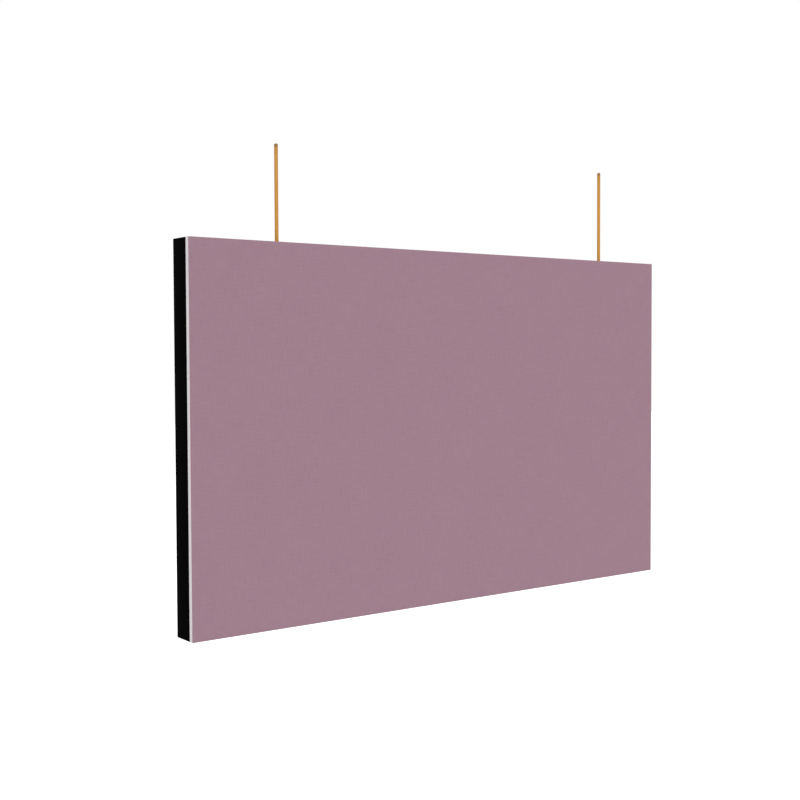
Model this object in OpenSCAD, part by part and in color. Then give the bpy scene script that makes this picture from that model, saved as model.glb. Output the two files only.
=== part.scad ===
// Suspended acoustic baffle: a black frame round an absorber slab, with a textile-faced
// board clipped on its front, a second one in a groove at its rear, and two threaded rods
// on sliding, levelling hangers in the channel of its top rail.
// The origin lies midway between the rods, at the height where the ceiling takes hold of them.
// X runs along the baffle, Y from front to rear and Z up. The rods stand in the plane Y = 0.

/* [Baffle] */
// Width of the baffle
baffle_w = 1000; // [700:10:1400]
// Height of the baffle without its rods
baffle_h = 600; // [400:10:900]

/* [Facings] */
// Thickness of the felt board behind the front textile
board_t = 8.2; // [6:0.1:12]
// Thickness of the textile on either side
textile_t = 0.8; // [0.4:0.1:1.4]
// Thickness of the board in the rear groove
rear_board_t = 6; // [4:0.5:9]
// Thickness of the fleece on either side of the absorber slab
fleece_t = 0.6; // [0.3:0.1:1]

/* [Frame] */
// Wall thickness of the frame's rails
wall = 2; // [1.6:0.1:3]
// Inside width of the rail's chamber, from front to rear
chamber_w = 28; // [26:1:36]
// Inside height of the rail's chamber
chamber_h = 11; // [11:0.5:16]
// Width of the lip behind the rear board's edge
lip_w = 12; // [8:1:20]
// Length of a corner key's leg
key_leg = 60; // [55:1:90]
// Distance from the outer corner to a key's grub screw
key_screw_in = 50; // [46:1:54]
// Diameter of the grub screws in the keys and in the sliders
grub_d = 5; // [4:0.5:6]
// Length of a grub screw in a corner key
key_screw_len = 8; // [6:0.5:9]

/* [Clips] */
// Number of clips along the top rail and along the bottom rail
clip_columns = 4; // [2:1:8]
// Number of clips along each upright rail
clip_rows = 2; // [1:1:5]
// Distance from the baffle's end to the first clip of a row
clip_end = 95; // [80:5:160]
// Diameter of the ball at the end of a stud
ball_d = 5; // [4:0.5:6]
// Diameter of a stud's stem
stem_d = 3.6; // [2.5:0.1:3.8]
// Diameter of a stud's base in the board
stud_base_d = 18; // [14:1:24]
// Thickness of a stud's base
stud_base_t = 2.4; // [1.5:0.1:3]
// Distance from the frame's front to the centre of a ball
ball_in = 7; // [6:0.5:9]
// Wall of a clip's socket
socket_wall = 1.4; // [1:0.1:2]
// Width of a socket's collar beyond its wall
collar_w = 1.6; // [1:0.1:2.5]
// Thickness of a socket's collar
collar_t = 0.8; // [0.5:0.1:1.1]

/* [Hangers] */
// Distance from the left end of the baffle to the left rod
rod_left_in = 165; // [150:5:220]
// Distance from the right end of the baffle to the right rod
rod_right_in = 122; // [110:1:220]
// Height of the left rod's tip above the baffle
rod_left_up = 154; // [152:1:300]
// Height of the right rod's tip above the baffle
rod_right_up = 169; // [152:1:300]
// Diameter of the rods
rod_d = 6; // [5:0.5:8]
// Height of the ceiling's hold above the baffle
hold_up = 150; // [60:5:150]
// Depth from a rod's surface to the middle of its thread
thread_in = 0.325; // [0.25:0.005:0.5]
// Chamfer at a rod's ends
rod_chamfer = 0.8; // [0.3:0.1:1.2]
// Height above the baffle at which a rod's lower thread ends
thread_up = 5; // [4.8:0.1:12]
// Width of the slot in the top rail
slot_w = 10; // [9.6:0.2:13]
// Distance from the baffle's end to the end of the slot
slot_end = 60; // [56:1:70]
// Length of a slider along the channel
slider_len = 40; // [36:1:60]
// Thickness of a slider under the slot
slider_t = 4; // [3:0.2:4.6]
// Distance from the rod to a clamp screw
clamp_in = 13; // [11:0.5:16]
// Wall of the levelling nut round the rod's thread
nut_wall = 1; // [0.8:0.1:1.1]
// Thickness of the levelling nut's flange
nut_flange_t = 2.4; // [1.6:0.1:2.6]
// Width of the levelling nut's flange beyond its barrel
nut_flange_w = 2; // [1.5:0.1:3]
// Diameter of the knurled wheel
wheel_d = 16; // [14:0.5:22]
// Thickness of the knurled wheel
wheel_t = 1.5; // [1.2:0.1:2]
// Number of flutes round the knurled wheel
wheel_flutes = 36; // [16:1:40]

/* [Hidden] */
$fn = 64;

// Finishes
frame_black = "#0c0b0d";
board_pale = "#d7d0d4";
textile_mauve = "#a0808c";
rod_gold = "#c4904c";
nut_brass = "#b88a3e";
zinc_grey = "#b4b8bc";
key_grey = "#9a9ca0";
wool_tan = "#b59f63";
fleece_black = "#1d1c1f";
socket_grey = "#4a4b4f";
stud_white = "#e4e2dc";

// Clearances
shaft_gap = 0.05;       // round a shaft, a screw or a rod's thread
key_gap = 0.2;          // round a corner key in the rail's chamber
slide_gap = 0.3;        // beside a slider in the channel
bear_gap = 0.1;         // where a slider or nut bears on the piece that it pulls up
groove_gap = 0.1;       // in front of and behind the rear board in its groove
soft_gap = 0.3;         // round the absorber slab
socket_gap = 0.1;       // round a socket in its hole and round a stud's base in the board
rear_board_gap = 0.5;   // round the rear board in its groove
pocket_gap = 1;         // round a socket in the absorber slab
cut = 1;                // how far a cut runs past the face that it starts from

// Places from front to rear
frame_front = -(chamber_w / 2 + wall);
web_rear = chamber_w / 2 + wall;
groove_w = rear_board_t + textile_t + 2 * groove_gap;
frame_rear = web_rear + groove_w + wall;
frame_d = frame_rear - frame_front;
board_front = frame_front - board_t;
facing_front = board_front - textile_t;
rear_board_y = web_rear + groove_gap;
front_fleece_y = frame_front + wall + soft_gap;
core_y = front_fleece_y + fleece_t;
rear_fleece_y = rear_board_y - soft_gap - fleece_t;
core_t = rear_fleece_y - core_y;

// Depths from the baffle's outer edge inwards
chamber_floor = wall + chamber_h;
web_in = chamber_floor + wall;
core_in = web_in + soft_gap;
rear_board_in = wall + rear_board_gap;
socket_r = ball_d / 2 + socket_wall;
collar_r = socket_r + collar_w;
clip_in = web_in + collar_r;
flange_edge = 1;        // from a socket's collar to the edge of the flange
flange_w = clip_in + collar_r + flange_edge;

// Clips
clip_step = (baffle_w - 2 * clip_end) / (clip_columns - 1);
clip_points = [
    for (i = [0 : clip_columns - 1], z = [-clip_in, clip_in - baffle_h])
        [clip_end - baffle_w / 2 + i * clip_step, z],
    for (j = [1 : clip_rows], side = [-1, 1])
        [side * (baffle_w / 2 - clip_in), -j * baffle_h / (clip_rows + 1)]
];
socket_bump = 0.5;
socket_bump_len = 1.8;
socket_end_t = 1;
socket_len = ball_in + ball_d / 2 + socket_end_t;

// Corner keys
key_rib = 2.4;
key_access_gap = 0.75;  // round a grub screw in the hole through which it is reached

// Hangers
rod_left_x = rod_left_in - baffle_w / 2;
rod_right_x = baffle_w / 2 - rod_right_in;
rod_mid_x = (rod_left_x + rod_right_x) / 2;
thread_r = rod_d / 2 - thread_in;
rod_foot = 2.7;         // from the foot of a rod to the chamber's floor
nut_r = rod_d / 2 + nut_wall;
slider_top = -(wall + bear_gap);
slider_foot = slider_top - slider_t;
flange_top = slider_foot - bear_gap;
nut_foot = flange_top - nut_flange_t;
wheel_up = 0.3;
nut_top = wheel_up + wheel_t;
tongue_gap = 0.2;
tongue_recess = 0.2;
clamp_recess = 1.4;
press_gap = 0.02;
flute_r = 0.4;

// Hangs the baffle from the origin: what it holds has its top edge at Z = 0 and its middle at X = 0
module hung() {
    translate([-rod_mid_x, 0, -hold_up]) children();
}

// Section of a rail: Y from front to rear, and the outer edge at the top
module rail_section() {
    translate([frame_front, -wall]) square([frame_d, wall]);
    translate([frame_front, -flange_w]) square([wall, flange_w]);
    translate([chamber_w / 2, -web_in]) square([wall, web_in]);
    translate([frame_front, -web_in]) square([chamber_w + 2 * wall, wall]);
    translate([frame_rear - wall, -lip_w]) square([wall, lip_w]);
}

// A rail with mitred ends, its outer face at Z = 0
module rail(length) {
    half = length / 2;
    intersection() {
        translate([-half, 0, 0]) rotate([90, 0, 90]) linear_extrude(length) rail_section();
        translate([0, frame_rear, 0]) rotate([90, 0, 0]) linear_extrude(frame_d)
            polygon([[-half, 0], [half, 0], [half - flange_w, -flange_w], [flange_w - half, -flange_w]]);
    }
}

// Holes in the front flanges: one for each socket, sunk for its collar
module socket_holes() {
    for (p = clip_points) translate([p[0], frame_front, p[1]]) rotate([-90, 0, 0]) {
        translate([0, 0, -cut]) cylinder(r = socket_r + socket_gap, h = wall + 2 * cut);
        translate([0, 0, -cut]) cylinder(r = collar_r + socket_gap, h = collar_t + cut);
    }
}

// Turns a piece made for the top left corner to each of the baffle's four corners
module at_corner(right, bottom) {
    translate([(right ? 1 : -1) * baffle_w / 2, 0, bottom ? -baffle_h : 0])
        mirror([right ? 1 : 0, 0, 0]) mirror([0, 0, bottom ? 1 : 0]) children();
}

// Two screw axes of the top left corner, each pointing in from the outer face
module at_key_screws() {
    translate([key_screw_in, 0, 0]) rotate([180, 0, 0]) children();
    translate([0, 0, -key_screw_in]) rotate([0, 90, 0]) children();
}

// Holes in the inner webs through which a key reaches the corner's grub screws
module key_access_holes() {
    for (right = [false, true], bottom = [false, true]) at_corner(right, bottom) at_key_screws()
        translate([0, 0, chamber_floor - cut])
            cylinder(d = grub_d + 2 * key_access_gap, h = wall + 2 * cut);
}

// The long slot of the top rail, with the round ends that a milling cutter leaves
module hanger_slot() {
    reach = baffle_w / 2 - slot_end - slot_w / 2;
    translate([-reach, -slot_w / 2, -wall - cut]) cube([2 * reach, slot_w, wall + 2 * cut]);
    for (side = [-1, 1]) translate([side * reach, 0, -wall - cut])
        cylinder(d = slot_w, h = wall + 2 * cut);
}

module frame_top() {
    color(frame_black) hung() difference() {
        rail(baffle_w);
        hanger_slot();
        socket_holes();
        key_access_holes();
    }
}

module frame_bottom() {
    color(frame_black) hung() difference() {
        translate([0, 0, -baffle_h]) rotate([0, 180, 0]) rail(baffle_w);
        socket_holes();
        key_access_holes();
    }
}

module frame_left() {
    color(frame_black) hung() difference() {
        translate([-baffle_w / 2, 0, -baffle_h / 2]) rotate([0, -90, 0]) rail(baffle_h);
        socket_holes();
        key_access_holes();
    }
}

module frame_right() {
    color(frame_black) hung() difference() {
        translate([baffle_w / 2, 0, -baffle_h / 2]) rotate([0, 90, 0]) rail(baffle_h);
        socket_holes();
        key_access_holes();
    }
}

// An extruded corner key with a window in each leg and a threaded hole near its end
module corner_key(right, bottom) {
    near = wall + key_gap;
    far = chamber_floor - key_gap;
    window = key_screw_in - grub_d - far - 2 * key_rib;
    window_h = far - near - 2 * key_rib;
    key_w = chamber_w - 2 * key_gap;
    color(key_grey) hung() at_corner(right, bottom) difference() {
        translate([0, key_w / 2, 0]) rotate([90, 0, 0]) linear_extrude(key_w) difference() {
            polygon([[near, -near], [key_leg, -near], [key_leg, -far],
                     [far, -far], [far, -key_leg], [near, -key_leg]]);
            translate([far + key_rib, key_rib - far]) square([window, window_h]);
            translate([near + key_rib, -far - key_rib - window]) square([window_h, window]);
        }
        at_key_screws() cylinder(d = grub_d + 2 * shaft_gap, h = chamber_floor + cut);
    }
}

// A grub screw with its foot at Z = 0 and a hexagon socket in its head
module grub_screw(length) {
    socket_af = grub_d / 2;
    difference() {
        cylinder(d = grub_d, h = length);
        translate([0, 0, length - socket_af])
            cylinder(d = socket_af / cos(30), h = socket_af + cut, $fn = 6);
    }
}

module key_screws() {
    color(zinc_grey) hung()
        for (right = [false, true], bottom = [false, true]) at_corner(right, bottom) at_key_screws()
            translate([0, 0, wall + shaft_gap]) grub_screw(key_screw_len);
}

// A flat layer whose edge lies the given distance in from the baffle's outer edge
module layer(edge_in, y, thickness) {
    translate([edge_in - baffle_w / 2, y, edge_in - baffle_h])
        cube([baffle_w - 2 * edge_in, thickness, baffle_h - 2 * edge_in]);
}

// Room for the sockets in the layers behind the flanges
module socket_pockets() {
    for (p = clip_points) translate([p[0], frame_front, p[1]]) rotate([-90, 0, 0])
        cylinder(r = socket_r + socket_bump + pocket_gap, h = socket_len + pocket_gap);
}

module core_slab() {
    color(wool_tan) hung() difference() {
        layer(core_in, core_y, core_t);
        socket_pockets();
    }
}

module front_fleece() {
    color(fleece_black) hung() difference() {
        layer(core_in, front_fleece_y, fleece_t);
        socket_pockets();
    }
}

module rear_fleece() {
    color(fleece_black) hung() layer(core_in, rear_fleece_y, fleece_t);
}

// The rear board and its textile stand in the groove behind the chamber
module rear_board() {
    color(board_pale) hung() layer(rear_board_in, rear_board_y, rear_board_t);
}

module rear_textile() {
    color(textile_mauve) hung() layer(rear_board_in, rear_board_y + rear_board_t, textile_t);
}

// A push-in socket: sunk collar, neck, snap bump and a round cavity for the ball
module clip_socket() {
    inner_r = ball_d / 2 + 2 * shaft_gap;
    inner_end = socket_len - socket_end_t + 2 * shaft_gap;
    bump_from = wall + shaft_gap;
    bump_to = bump_from + socket_bump_len;
    rotate([-90, 0, 0]) rotate_extrude() polygon([
        [inner_r, 0], [collar_r, 0], [collar_r, collar_t], [socket_r, collar_t],
        [socket_r, bump_from], [socket_r + socket_bump, bump_from + socket_bump],
        [socket_r + socket_bump, bump_to - socket_bump], [socket_r, bump_to],
        [socket_r - socket_bump, socket_len], [0, socket_len],
        [0, inner_end], [inner_r, inner_end]
    ]);
}

module clip_sockets() {
    color(socket_grey) hung()
        for (p = clip_points) translate([p[0], frame_front, p[1]]) clip_socket();
}

// The front board, with a round pocket in its back for the base of each stud
module facing_board() {
    pocket_depth = stud_base_t + 2 * shaft_gap;
    color(board_pale) hung() difference() {
        layer(0, board_front, board_t);
        for (p = clip_points) translate([p[0], frame_front, p[1]]) rotate([90, 0, 0])
            translate([0, 0, -cut]) cylinder(d = stud_base_d + 2 * socket_gap, h = pocket_depth + cut);
    }
}

module facing_textile() {
    color(textile_mauve) hung() layer(0, facing_front, textile_t);
}

// A stud with its base sunk in the board and its ball in the socket
module clip_stud() {
    rotate([-90, 0, 0]) {
        translate([0, 0, -stud_base_t - shaft_gap]) cylinder(d = stud_base_d, h = stud_base_t);
        translate([0, 0, -stud_base_t / 2]) cylinder(d = stem_d, h = ball_in + stud_base_t / 2);
        translate([0, 0, ball_in]) sphere(d = ball_d);
    }
}

module clip_studs() {
    color(stud_white) hung()
        for (p = clip_points) translate([p[0], frame_front, p[1]]) clip_stud();
}

// Slider of a hanger: a T-nut that runs in the chamber, with its tongue in the slot
module slider(x) {
    slider_w = chamber_w - 2 * slide_gap;
    tongue_w = slot_w - 2 * tongue_gap;
    color(zinc_grey) hung() translate([x, 0, 0]) difference() {
        union() {
            translate([-slider_len / 2, -slider_w / 2, slider_foot])
                cube([slider_len, slider_w, slider_t]);
            translate([-slider_len / 2, -tongue_w / 2, slider_foot])
                cube([slider_len, tongue_w, -tongue_recess - slider_foot]);
        }
        translate([0, 0, slider_foot - cut])
            cylinder(r = nut_r + shaft_gap, h = slider_t + wall + 2 * cut);
        for (side = [-1, 1]) translate([side * clamp_in, 0, slider_foot - cut])
            cylinder(d = grub_d + 2 * shaft_gap, h = slider_t + wall + 2 * cut);
    }
}

// The slider's grub screws stand on the chamber's floor and press the slider up
module clamp_screws(x) {
    foot = shaft_gap - chamber_floor;
    color(zinc_grey) hung() for (side = [-1, 1])
        translate([x + side * clamp_in, 0, foot]) grub_screw(-clamp_recess - foot);
}

// The levelling nut: a barrel through the slider, with its flange under it
module level_nut(x) {
    color(nut_brass) hung() translate([x, 0, 0]) difference() {
        union() {
            translate([0, 0, nut_foot]) cylinder(r = nut_r, h = nut_top - nut_foot);
            translate([0, 0, nut_foot]) cylinder(r = nut_r + nut_flange_w, h = nut_flange_t);
        }
        translate([0, 0, nut_foot - cut])
            cylinder(r = thread_r + shaft_gap, h = nut_top - nut_foot + 2 * cut);
    }
}

// The knurled wheel on top of the nut's barrel
module thumb_wheel(x) {
    color(nut_brass) hung() translate([x, 0, wheel_up]) linear_extrude(wheel_t) difference() {
        circle(d = wheel_d);
        circle(r = nut_r + press_gap);
        for (i = [0 : wheel_flutes - 1]) rotate(i * 360 / wheel_flutes)
            translate([wheel_d / 2, 0]) circle(r = flute_r, $fn = 24);
    }
}

// A rod: lower thread in the nut, plain shank above it, both ends chamfered
module rod(x, up) {
    foot = rod_foot - chamber_floor;
    color(rod_gold) hung() translate([x, 0, 0]) rotate_extrude() polygon([
        [0, foot], [thread_r - rod_chamfer, foot], [thread_r, foot + rod_chamfer],
        [thread_r, thread_up], [rod_d / 2, thread_up],
        [rod_d / 2, up - rod_chamfer], [rod_d / 2 - rod_chamfer, up], [0, up]
    ]);
}

frame_top();
frame_bottom();
frame_left();
frame_right();
corner_key(false, false);  // corner_key_top_left
corner_key(true, false);  // corner_key_top_right
corner_key(false, true);  // corner_key_bottom_left
corner_key(true, true);  // corner_key_bottom_right
key_screws();
core_slab();
front_fleece();
rear_fleece();
rear_board();
rear_textile();
clip_sockets();
facing_board();
facing_textile();
clip_studs();
slider(rod_left_x);  // slider_left
clamp_screws(rod_left_x);  // clamp_screws_left
level_nut(rod_left_x);  // level_nut_left
thumb_wheel(rod_left_x);  // thumb_wheel_left
rod(rod_left_x, rod_left_up);  // rod_left
slider(rod_right_x);  // slider_right
clamp_screws(rod_right_x);  // clamp_screws_right
level_nut(rod_right_x);  // level_nut_right
thumb_wheel(rod_right_x);  // thumb_wheel_right
rod(rod_right_x, rod_right_up);  // rod_right
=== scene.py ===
"""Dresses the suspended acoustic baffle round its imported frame, with its camera and its studio.

Lengths are in metres, or in millimetres where a name ends in _mm. X runs along the baffle, Y from
front to rear and Z up. The origin lies midway between the rods, 150 mm above the baffle's top edge.
"""
import logging
import math
from abc import ABC, abstractmethod
from collections.abc import Callable, Iterable, Mapping, Sequence
from dataclasses import dataclass, field
from enum import Enum
from random import Random

import bmesh
import bpy
from mathutils import Matrix, Vector, noise


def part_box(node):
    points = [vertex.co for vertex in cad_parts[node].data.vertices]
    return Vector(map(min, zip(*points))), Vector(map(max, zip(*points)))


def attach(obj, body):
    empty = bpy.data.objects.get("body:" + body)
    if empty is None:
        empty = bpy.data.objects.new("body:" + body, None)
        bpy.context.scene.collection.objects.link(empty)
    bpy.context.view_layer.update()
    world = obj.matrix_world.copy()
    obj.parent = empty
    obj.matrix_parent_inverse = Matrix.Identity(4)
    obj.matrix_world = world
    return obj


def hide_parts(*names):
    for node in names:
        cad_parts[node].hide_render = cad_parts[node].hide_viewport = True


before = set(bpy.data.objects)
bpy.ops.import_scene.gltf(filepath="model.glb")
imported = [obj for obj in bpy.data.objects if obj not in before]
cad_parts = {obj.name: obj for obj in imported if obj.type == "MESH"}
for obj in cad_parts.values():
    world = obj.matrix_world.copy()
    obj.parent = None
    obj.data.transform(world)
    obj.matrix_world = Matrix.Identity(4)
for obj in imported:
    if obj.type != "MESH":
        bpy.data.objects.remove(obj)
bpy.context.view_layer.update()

log = logging.getLogger("acoustic_baffle")

MM = 0.001
WHITE = (1.0, 1.0, 1.0, 1.0)
NOISE_SPAN = (0.3, 0.7)  # where most of a noise's values lie
SMOOTH, FINE, CLOUDY, PATCHY = 1.0, 2.0, 3.0, 4.0  # how many finer layers a noise has
HARD_EDGE_DEG = 32.0  # the angle past which an edge of metal or plastic is sharp
SOFT_EDGE_DEG = 60.0  # the angle past which an edge of felt, cloth or wool is sharp
TURNED_SIDES = 48  # how many sides a turned form has, if no more are given
WEAR_AND_SHADE = "wear_and_shade"  # the mesh's attribute, from 0 to 1, for each point's share of wear on the frame's edges and of tarnish with painted shade at a rod's tip
WELD = 0.001 * MM  # the distance within which points are one
OVERCUT = 1 * MM  # how far a cutter stands out of what it cuts
UP = Vector((0, 0, 1))
TO_REAR = Vector((0, 1, 0))

Colour = tuple[float, float, float, float]
Link = bpy.types.Node | bpy.types.NodeSocket
Outline = Sequence[tuple[float, float]]
Point = tuple[float, float, float]
Solid = tuple[Vector, Vector]


def linear(hex_colour: str) -> Colour:
    """Turns an sRGB colour into a linear one.

    Args:
        hex_colour: a hash and six hexadecimal digits, such as "#a0808c".

    Returns:
        Red, green, blue and alpha, with alpha 1.
    """
    parts = [int(hex_colour[i : i + 2], 16) / 255 for i in (1, 3, 5)]
    red, green, blue = (c / 12.92 if c <= 0.04045 else ((c + 0.055) / 1.055) ** 2.4 for c in parts)
    return red, green, blue, 1.0


def add(
    tree: bpy.types.NodeTree,
    kind: str,
    takes: Mapping[str, object] | Sequence[object] = (),
    **settings: object,
) -> bpy.types.Node:
    """Adds one node with its settings and its links.

    Args:
        tree: the node tree that it joins.
        kind: the node's type, without "ShaderNode".
        takes: what goes into its inputs, in their order or by their names: values, sockets or nodes.
        settings: the node's own properties.

    Returns:
        The new node.
    """
    node = tree.nodes.new(f"ShaderNode{kind}")
    for name, value in settings.items():
        setattr(node, name, value)
    open_inputs = [socket for socket in node.inputs if socket.enabled]
    for key, value in takes.items() if isinstance(takes, Mapping) else enumerate(takes):
        socket = node.inputs[key] if isinstance(key, str) else open_inputs[key]
        if isinstance(value, bpy.types.Node):
            value = next(output for output in value.outputs if output.enabled)
        if isinstance(value, bpy.types.NodeSocket):
            tree.links.new(value, socket)
        else:
            socket.default_value = value
    return node


def empty_tree(owner: bpy.types.Material | bpy.types.World) -> bpy.types.NodeTree:
    """Turns on the nodes of a material or a world and clears them away.

    Args:
        owner: the material or the world.

    Returns:
        Its node tree, without nodes.
    """
    owner.use_nodes = True
    owner.node_tree.nodes.clear()
    return owner.node_tree


def per_metre(sizes_mm: Sequence[float]) -> tuple[float, ...]:
    """Turns a pattern's real sizes along X, Y and Z into its repeats in a metre."""
    return tuple(1 / (size * MM) for size in sizes_mm)


# Finishes


@dataclass(frozen=True)
class Pattern:
    """What a finish draws over a surface: what goes to the shader, each left out if it is None."""

    colour: Link | None = None
    roughness: Link | None = None
    height: Link | None = None


@dataclass(frozen=True)
class Finish(ABC):
    """A real material, with the way its surface was made."""

    name: str
    colour: str
    roughness: float
    metallic: float = 0.0
    specular: float = 0.5
    gloss_tint: str = "#ffffff"
    relief_mm: float = 0.05

    @abstractmethod
    def pattern(self, tree: bpy.types.NodeTree, place: Link) -> Pattern:
        """Draws the finish.

        Args:
            tree: the material's node tree.
            place: the point on the surface, in metres in the object's own frame.

        Returns:
            What goes to the shader.
        """

    def gloss_range(self, spread: float) -> tuple[float, float]:
        """Gives the least and the greatest roughness of a surface whose gloss varies by a spread."""
        return self.roughness - spread, self.roughness + spread

    def make(self) -> bpy.types.Material:
        """Makes the material, or finds it if it has been made.

        Returns:
            The material.
        """
        found = bpy.data.materials.get(self.name)
        if found is not None:
            return found
        material = bpy.data.materials.new(self.name)
        material.diffuse_color = linear(self.colour)
        tree = empty_tree(material)
        drawn = self.pattern(tree, add(tree, "TexCoord").outputs["Object"])
        takes = {
            "Base Color": drawn.colour or linear(self.colour),
            "Roughness": drawn.roughness or self.roughness,
            "Metallic": self.metallic,
            "Specular IOR Level": self.specular,
            "Specular Tint": linear(self.gloss_tint),
        }
        if drawn.height is not None:
            relief = {"Strength": 1.0, "Distance": self.relief_mm * MM, "Height": drawn.height}
            takes["Normal"] = add(tree, "Bump", relief)
        add(tree, "OutputMaterial", {"Surface": add(tree, "BsdfPrincipled", takes)})
        return material


@dataclass(frozen=True)
class WovenCloth(Finish):
    """Plain weave of spun yarns that vary a little in tone and lie over and under each other."""

    light: str = "#a78794"
    dark: str = "#9c7b89"
    yarn_mm: float = 1.1
    slub_yarns: float = 22.0
    cloud_mm: float = 70.0
    cloud_share: float = 0.15
    hair_mm: float = 0.14  # coarser than a real fibre, which is too fine to show
    yarn_relief: float = 0.5
    through_mm: float = 1000.0  # a yarn keeps its tone through the thickness of the cloth

    def pattern(self, tree: bpy.types.NodeTree, place: Link) -> Pattern:
        """Draws rounded yarns, the slubs along them, and their hairs.

        Args:
            tree: the material's node tree.
            place: the point on the surface, in metres.

        Returns:
            Colour and height.
        """
        split = add(tree, "SeparateXYZ", (place,))
        half_turn = math.pi / (self.yarn_mm * MM)
        waves = []
        for axis in "XZ":
            angle = add(tree, "Math", (split.outputs[axis], half_turn), operation="MULTIPLY")
            waves.append(add(tree, "Math", (angle,), operation="SINE"))
        crossing = add(tree, "Math", waves, operation="MULTIPLY")
        domes = [add(tree, "Math", (wave,), operation="ABSOLUTE") for wave in waves]
        warp = add(tree, "Math", (domes[0], crossing), operation="ADD")
        weft = add(tree, "Math", (domes[1], crossing), operation="SUBTRACT")
        warp_on_top = add(tree, "Math", (warp, weft), operation="GREATER_THAN")
        slub = self.slub_yarns * self.yarn_mm
        tones = []
        for size in ((slub, self.through_mm, self.yarn_mm), (self.yarn_mm, self.through_mm, slub)):
            run = add(tree, "VectorMath", (place, per_metre(size)), operation="MULTIPLY")
            tones.append(add(tree, "TexNoise", (run, 1.0, SMOOTH)))
        tone = add(tree, "Mix", (warp_on_top, *tones))
        clouds = add(tree, "TexNoise", (place, 1 / (self.cloud_mm * MM), CLOUDY))
        both = add(tree, "Mix", (self.cloud_share, tone, clouds))
        share = add(tree, "MapRange", (both, *NOISE_SPAN, 0.0, 1.0))
        colour = add(tree, "Mix", (share, linear(self.dark), linear(self.light)), data_type="RGBA")
        crown = add(tree, "Math", (warp, weft), operation="MAXIMUM")
        hairs = add(tree, "TexNoise", (place, 1 / (self.hair_mm * MM), FINE))
        height = add(tree, "Math", (crown, self.yarn_relief, hairs), operation="MULTIPLY_ADD")
        return Pattern(colour, height=height)


@dataclass(frozen=True)
class NeedledFelt(Finish):
    """Polyester fibres needled and hot-pressed into a board: tangled, with faint layers along its faces."""

    light: str = "#eeebec"
    dark: str = "#c9c1c5"
    fibre_mm: float = 0.35  # ten times the real fibre, which is too fine to show
    fibre_run: float = 9.0
    layer_mm: Point = (40.0, 1.3, 40.0)
    layer_share: float = 0.3

    def pattern(self, tree: bpy.types.NodeTree, place: Link) -> Pattern:
        """Draws tangled fibres over pressed layers.

        Args:
            tree: the material's node tree.
            place: the point on the surface, in metres.

        Returns:
            Colour and height.
        """
        thin, long = self.fibre_mm, self.fibre_mm * self.fibre_run
        upright, level = ((thin, thin, long), CLOUDY), ((long, thin, thin), CLOUDY)
        drawn = []
        for size, layers in (upright, level, (self.layer_mm, SMOOTH)):
            run = add(tree, "VectorMath", (place, per_metre(size)), operation="MULTIPLY")
            drawn.append(add(tree, "TexNoise", (run, 1.0, layers)))
        *fibres, pressed = drawn
        tangle = add(tree, "Math", fibres, operation="MAXIMUM")
        both = add(tree, "Mix", (self.layer_share, tangle, pressed))
        share = add(tree, "MapRange", (both, *NOISE_SPAN, 0.0, 1.0))
        colour = add(tree, "Mix", (share, linear(self.dark), linear(self.light)), data_type="RGBA")
        return Pattern(colour, height=tangle)


@dataclass(frozen=True)
class PowderCoat(Finish):
    """Polyester powder baked on aluminium: a fine grit over a soft orange peel, unevenly rubbed."""

    grit_mm: float = 0.35
    peel_mm: float = 3.0
    rubbed_mm: float = 45.0
    rubbed_gloss: float = 0.07
    rubbed_edge: str = "#39383b"
    edge_wear: tuple[float, float] = (0.2, 1.0)  # the least and the most wear along an edge

    def pattern(self, tree: bpy.types.NodeTree, place: Link) -> Pattern:
        """Draws the grit, the peel, the rubbed patches and the edges that the mesh marks as worn.

        Args:
            tree: the material's node tree.
            place: the point on the surface, in metres.

        Returns:
            Colour, roughness and height.
        """
        grit = add(tree, "TexNoise", (place, 1 / (self.grit_mm * MM), FINE))
        peel = add(tree, "TexNoise", (place, 1 / (self.peel_mm * MM), SMOOTH))
        rubbed = add(tree, "TexNoise", (place, 1 / (self.rubbed_mm * MM), PATCHY))
        gloss = add(tree, "MapRange", (rubbed, *NOISE_SPAN, *self.gloss_range(self.rubbed_gloss)))
        wear_and_shade = add(tree, "Attribute", attribute_name=WEAR_AND_SHADE).outputs["Fac"]
        uneven = add(tree, "MapRange", (rubbed, *NOISE_SPAN, *self.edge_wear))
        share = add(tree, "Math", (wear_and_shade, uneven), operation="MULTIPLY")
        colours = (linear(self.colour), linear(self.rubbed_edge))
        colour = add(tree, "Mix", (share, *colours), data_type="RGBA")
        return Pattern(colour, gloss, add(tree, "Math", (peel, grit), operation="ADD"))


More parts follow.
